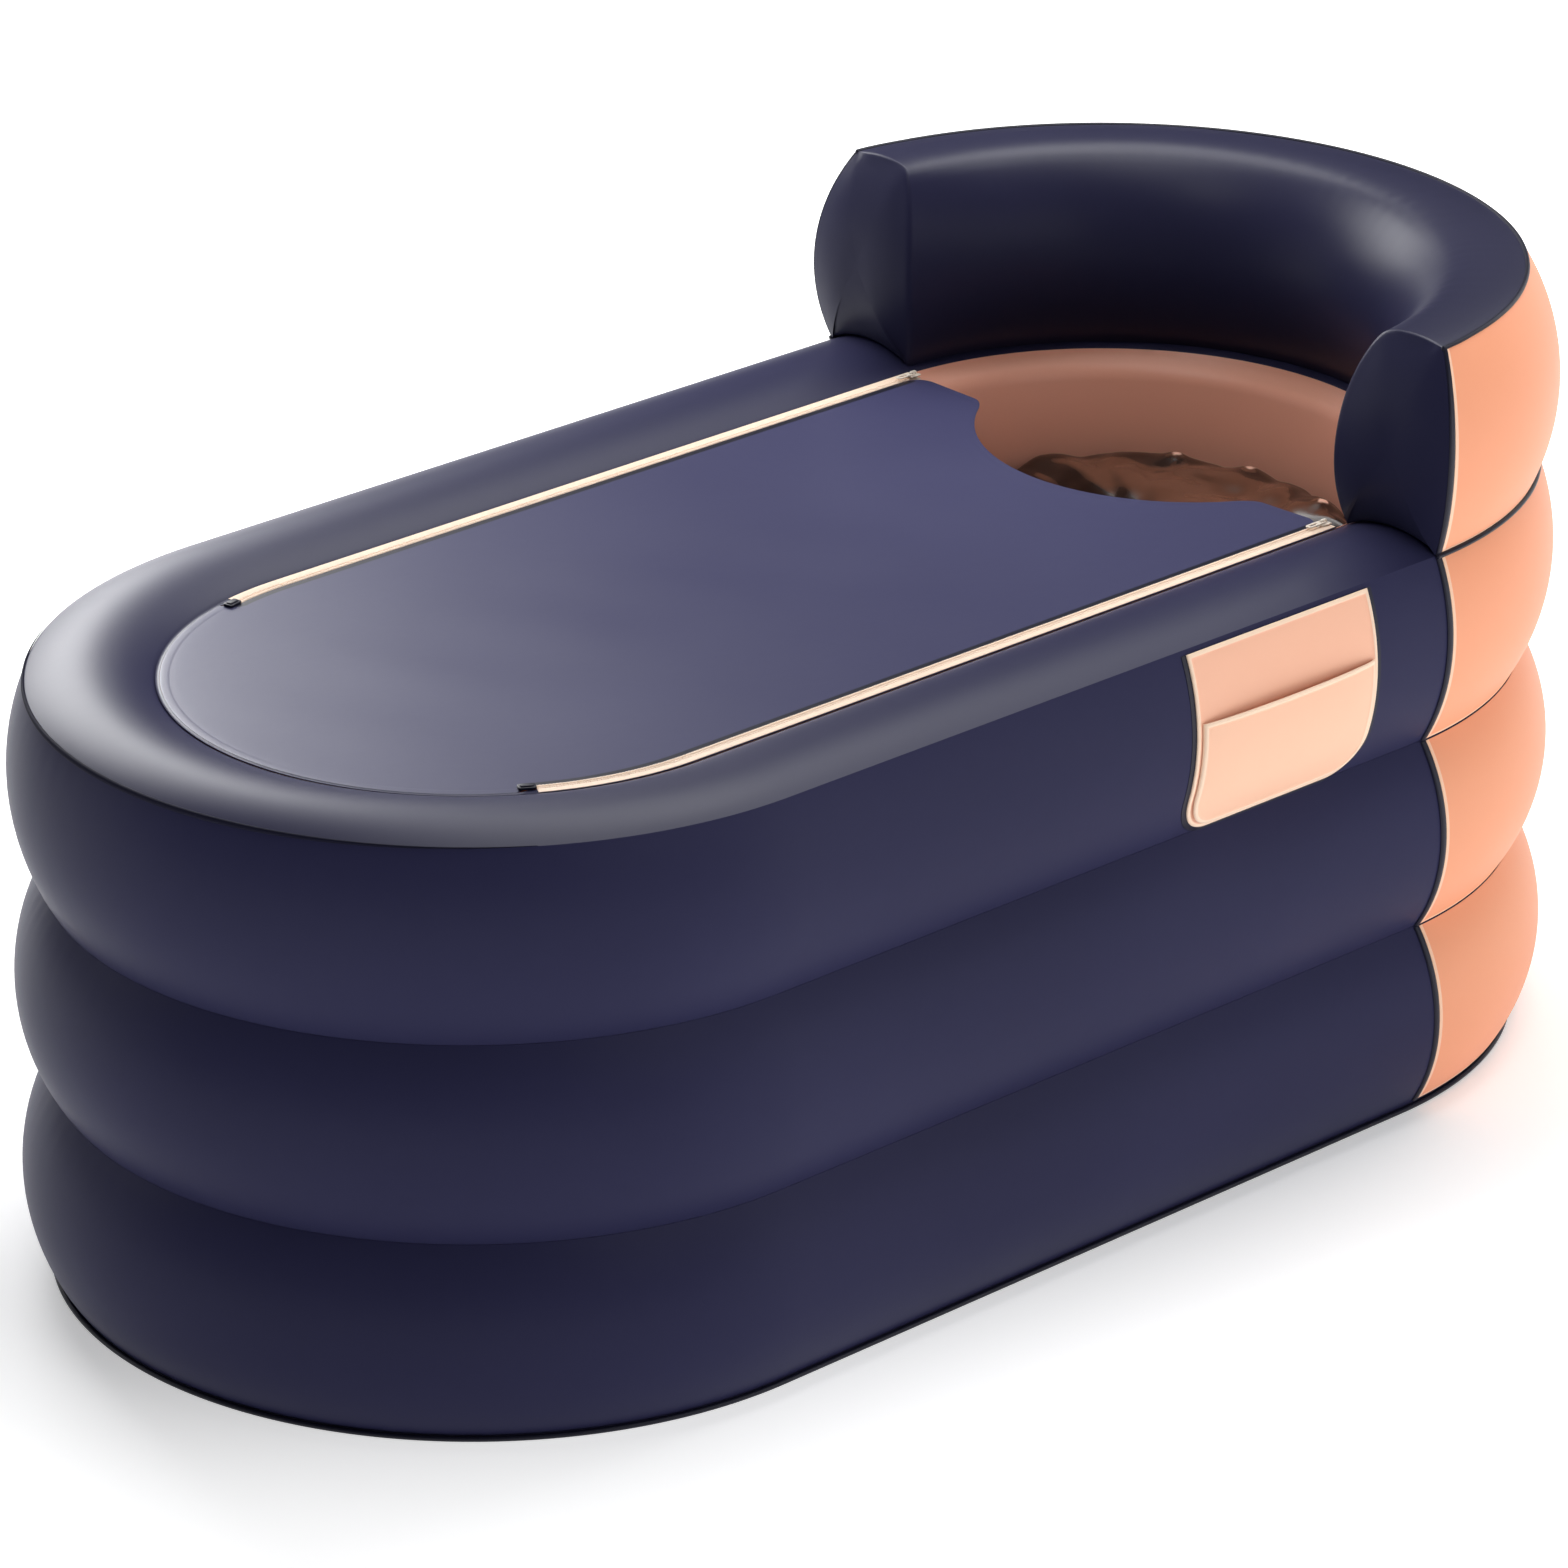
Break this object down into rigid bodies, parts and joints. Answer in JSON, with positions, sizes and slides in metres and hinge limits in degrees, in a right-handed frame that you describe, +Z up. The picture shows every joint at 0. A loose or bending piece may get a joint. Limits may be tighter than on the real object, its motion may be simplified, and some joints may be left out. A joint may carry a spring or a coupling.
{
  "type": "inflatable bathtub",
  "caption": "Freestanding inflatable bathtub with stacked air rings, a C-shaped backrest, a zipped cover with a neck scoop, and a side pocket.",
  "frame": {"origin": "on the ground, under the middle of the tub", "axes": "+X to the head end with the backrest, +Z up, -Y the side with the pocket"},
  "size_m": [1.6012, 0.8371, 0.7436],
  "materials": {
    "dark_trim": "dark navy vinyl welt, satin",
    "navy_vinyl": "smooth navy PVC sheet, satin",
    "peach_vinyl": "smooth peach PVC sheet, satin",
    "light_peach_vinyl": "smooth pale peach PVC sheet, satin",
    "liner_vinyl": "peach PVC liner, satin",
    "cover_vinyl": "grey-navy PVC cover sheet, matt",
    "zip_chain": "cream moulded zip chain",
    "ivory_plastic": "ivory moulded plastic",
    "clear_vinyl": "translucent soft PVC",
    "navy_plastic": "navy moulded soft plastic"
  },
  "bodies": {
    "tub": {"floor_sheet": "dark_trim", "base_welt": "dark_trim", "backrest_welt": "dark_trim", "near_zip_stop": "dark_trim", "far_zip_stop": "dark_trim", "lower_panel_tape_near": "dark_trim", "lower_panel_tape_far": "dark_trim", "middle_panel_tape_near": "dark_trim", "middle_panel_tape_far": "dark_trim", "upper_panel_tape_near": "dark_trim", "upper_panel_tape_far": "dark_trim", "backrest_panel_tape_near": "dark_trim", "backrest_panel_tape_far": "dark_trim", "lower_ring": "navy_vinyl", "middle_ring": "navy_vinyl", "upper_ring": "navy_vinyl", "backrest": "navy_vinyl", "shoulder_seam_bead": "navy_vinyl", "rim_flange": "navy_vinyl", "lower_head_panel": "peach_vinyl", "middle_head_panel": "peach_vinyl", "upper_head_panel": "peach_vinyl", "backrest_head_panel": "peach_vinyl", "pocket_back": "peach_vinyl", "pocket_pouch": "light_peach_vinyl", "liner_wall": "liner_vinyl", "liner_floor": "liner_vinyl", "floor_cushion": "liner_vinyl", "head_cushion": "liner_vinyl", "cover_foot": "cover_vinyl", "near_chain_rim": "zip_chain", "near_chain_foot": "zip_chain", "far_chain_rim": "zip_chain", "far_chain_foot": "zip_chain", "lower_valve": "clear_vinyl", "middle_valve": "clear_vinyl", "upper_valve": "clear_vinyl", "backrest_valve": "clear_vinyl", "floor_cushion_valve": "clear_vinyl", "head_cushion_valve": "clear_vinyl", "drain_tube": "clear_vinyl"},
    "cover_middle": {"cover_middle_flap": "cover_vinyl", "near_chain_middle": "zip_chain", "far_chain_middle": "zip_chain"},
    "cover_head": {"cover_head_flap": "cover_vinyl", "near_chain_head": "zip_chain", "far_chain_head": "zip_chain"},
    "near_slider": {"near_slider": "ivory_plastic"},
    "near_pull": {"near_pull": "ivory_plastic"},
    "far_slider": {"far_slider": "ivory_plastic"},
    "far_pull": {"far_pull": "ivory_plastic"},
    "lower_valve_cap": {"lower_valve_cap": "navy_plastic"},
    "middle_valve_cap": {"middle_valve_cap": "navy_plastic"},
    "upper_valve_cap": {"upper_valve_cap": "navy_plastic"},
    "backrest_valve_cap": {"backrest_valve_cap": "navy_plastic"},
    "floor_cushion_valve_cap": {"floor_cushion_valve_cap": "navy_plastic"},
    "head_cushion_valve_cap": {"head_cushion_valve_cap": "navy_plastic"},
    "drain_cap": {"drain_cap": "navy_plastic"},
    "drain_plug": {"drain_plug": "navy_plastic"}
  },
  "joints": [
    {"name": "cover_middle_hinge", "type": "hinge", "parent": "tub", "child": "cover_middle", "pos_m": [-0.39, 0, 0.5509], "axis": [0, -1, 0], "range_deg": [0, 110]},
    {"name": "cover_head_hinge", "type": "hinge", "parent": "cover_middle", "child": "cover_head", "pos_m": [0.01, 0, 0.5509], "axis": [0, -1, 0], "range_deg": [0, 175]},
    {"name": "near_slider_slide", "type": "slide", "parent": "tub", "child": "near_slider", "axis": [-1, 0, 0], "range_m": [0, 0.77]},
    {"name": "near_pull_hinge", "type": "hinge", "parent": "near_slider", "child": "near_pull", "pos_m": [0.391, -0.2666, 0.5518], "axis": [0, 1, 0], "range_deg": [0, 175]},
    {"name": "far_slider_slide", "type": "slide", "parent": "tub", "child": "far_slider", "axis": [-1, 0, 0], "range_m": [0, 0.77]},
    {"name": "far_pull_hinge", "type": "hinge", "parent": "far_slider", "child": "far_pull", "pos_m": [0.391, 0.2666, 0.5518], "axis": [0, 1, 0], "range_deg": [0, 175]},
    {"name": "lower_valve_cap_pull", "type": "slide", "parent": "tub", "child": "lower_valve_cap", "axis": [0, 1, 0], "range_m": [0, 0.012]},
    {"name": "middle_valve_cap_pull", "type": "slide", "parent": "tub", "child": "middle_valve_cap", "axis": [0, 1, 0], "range_m": [0, 0.012]},
    {"name": "upper_valve_cap_pull", "type": "slide", "parent": "tub", "child": "upper_valve_cap", "axis": [0, 1, 0], "range_m": [0, 0.012]},
    {"name": "backrest_valve_cap_pull", "type": "slide", "parent": "tub", "child": "backrest_valve_cap", "axis": [0.5, 0.866, 0], "range_m": [0, 0.012]},
    {"name": "floor_cushion_valve_cap_pull", "type": "slide", "parent": "tub", "child": "floor_cushion_valve_cap", "axis": [0, 0, 1], "range_m": [0, 0.012]},
    {"name": "head_cushion_valve_cap_pull", "type": "slide", "parent": "tub", "child": "head_cushion_valve_cap", "axis": [0, 0, 1], "range_m": [0, 0.012]},
    {"name": "drain_cap_pull", "type": "slide", "parent": "tub", "child": "drain_cap", "axis": [0, 1, 0], "range_m": [0, 0.02]},
    {"name": "drain_plug_pull", "type": "slide", "parent": "tub", "child": "drain_plug", "axis": [0, -1, 0], "range_m": [0, 0.02]}
  ]
}
